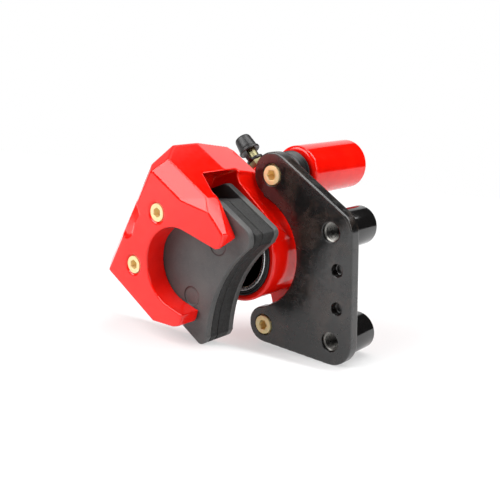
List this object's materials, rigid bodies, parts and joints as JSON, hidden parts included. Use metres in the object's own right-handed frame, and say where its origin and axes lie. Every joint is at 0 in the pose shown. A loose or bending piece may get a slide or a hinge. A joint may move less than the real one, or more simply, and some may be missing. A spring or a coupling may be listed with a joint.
{
  "type": "brake caliper",
  "caption": "Floating single-piston disc brake caliper with a U-shaped fork, brake pads, slide pins, bleed screw and a steel carrier bracket with threaded bosses.",
  "frame": {"origin": "midway between the two threaded mounting holes, on the front face of the carrier bracket", "axes": "+Z along the line of the mounting holes, +Y along the brake disc's axis from the fork towards the guides and inlet, +X away from the piston"},
  "size_m": [0.097, 0.0992, 0.0896],
  "materials": {
    "red_paint": "gloss red paint on cast aluminium",
    "black_coat": "satin black coating on steel",
    "yellow_zinc": "yellow passivated zinc plating",
    "bright_steel": "ground and plated steel",
    "pad_plate": "matt grey powder coat on steel",
    "pad_lining": "moulded friction material",
    "black_rubber": "moulded rubber"
  },
  "bodies": {
    "bracket": {"bracket_plate": "black_coat", "mount_boss_upper": "black_coat", "mount_boss_lower": "black_coat", "slide_pin_upper": "yellow_zinc", "slide_pin_lower": "yellow_zinc", "slide_pin_ring": "black_rubber"},
    "caliper": {"caliper_housing": "red_paint", "pad_pin_upper": "yellow_zinc", "pad_pin_lower": "yellow_zinc", "pad_spring": "bright_steel", "dust_seal": "black_rubber", "piston_seal": "black_rubber", "outer_pad_plate": "pad_plate", "outer_pad_lining": "pad_lining", "guide_boot_upper": "black_rubber", "guide_boot_lower": "black_rubber"},
    "piston": {"piston": "bright_steel"},
    "inner_pad": {"inner_pad_plate": "pad_plate", "inner_pad_lining": "pad_lining"},
    "bleed_screw": {"bleed_screw": "yellow_zinc", "bleed_cap_strap": "black_rubber"},
    "bleed_cap": {"bleed_cap": "black_rubber"}
  },
  "joints": [
    {"name": "caliper_float", "type": "slide", "parent": "bracket", "child": "caliper", "axis": [0, 1, 0], "range_m": [-0.003, 0.005], "deforming": ["guide_boot_upper", "guide_boot_lower"]},
    {"name": "piston_stroke", "type": "slide", "parent": "caliper", "child": "piston", "axis": [0, -1, 0], "range_m": [0, 0.0085]},
    {"name": "inner_pad_slide", "type": "slide", "parent": "caliper", "child": "inner_pad", "axis": [0, -1, 0], "range_m": [-0.0085, 0]},
    {"name": "bleed_screw_turn", "type": "hinge", "parent": "caliper", "child": "bleed_screw", "pos_m": [-0.05197, 0.018, 0.04364], "axis": [-0.6388, 0, 0.7694], "range_deg": [0, 120]},
    {"name": "bleed_cap_pull", "type": "slide", "parent": "bleed_screw", "child": "bleed_cap", "axis": [-0.6388, 0, 0.7694], "range_m": [0, 0.008], "deforming": ["bleed_cap_strap"]}
  ]
}
